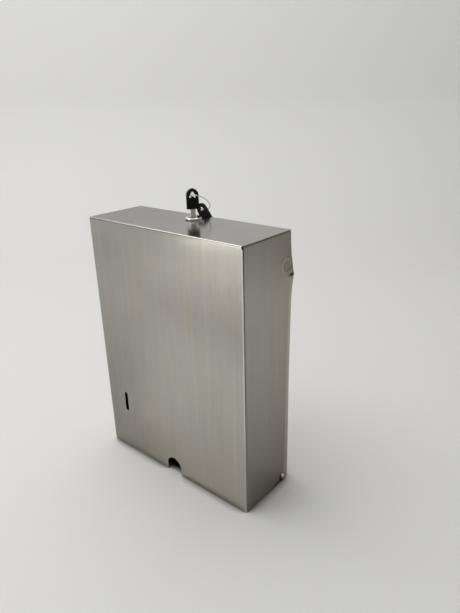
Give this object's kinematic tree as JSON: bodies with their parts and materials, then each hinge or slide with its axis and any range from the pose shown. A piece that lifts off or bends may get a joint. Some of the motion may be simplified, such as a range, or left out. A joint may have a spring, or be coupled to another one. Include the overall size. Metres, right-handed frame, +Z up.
{
  "type": "paper towel dispenser",
  "caption": "Wall dispenser for folded paper towels: brushed steel cover that tips forward on pins at its foot, cam lock in the top with keys on a wire ring.",
  "frame": {"origin": "middle of the footprint at the foot, halfway between the cover's front and the wall face", "axes": "+X to the right seen from the front, +Y towards the wall, +Z up"},
  "size_m": [0.2675, 0.097, 0.3888],
  "materials": {
    "brushed_steel": "vertical brushed grain, worn",
    "inner_steel": "plain mill finish",
    "zinc_steel": "zinc plated",
    "lock_chrome": "polished",
    "key_nickel": "satin warm nickel",
    "black_plastic": "semi gloss",
    "ring_wire": "plain bright wire"
  },
  "bodies": {
    "cabinet": {"back_plate": "inner_steel", "bottom_tray": "inner_steel", "side_guide_left": "inner_steel", "side_guide_right": "inner_steel", "lock_keeper": "zinc_steel", "hinge_pin_left": "zinc_steel", "hinge_pin_right": "zinc_steel", "hinge_spacer_left": "inner_steel", "hinge_spacer_right": "inner_steel"},
    "cover": {"front_cover": "brushed_steel", "lock_housing": "lock_chrome", "lock_washer": "zinc_steel", "lock_nut": "zinc_steel", "key_ring": "ring_wire", "spare_key_blade": "key_nickel", "spare_key_head": "black_plastic"},
    "plug": {"lock_plug": "lock_chrome", "lock_cam": "zinc_steel", "cam_washer": "zinc_steel", "cam_screw": "zinc_steel", "key_blade": "key_nickel", "key_head": "black_plastic"}
  },
  "joints": [
    {"name": "cover_tip", "type": "hinge", "parent": "cabinet", "child": "cover", "pos_m": [0, 0.0313, 0.0074], "axis": [1, 0, 0], "range_deg": [0, 90]},
    {"name": "lock_turn", "type": "hinge", "parent": "cover", "child": "plug", "pos_m": [-0.0024, 0.0182, 0.3503], "axis": [0, 0, 1], "range_deg": [0, 90]}
  ]
}
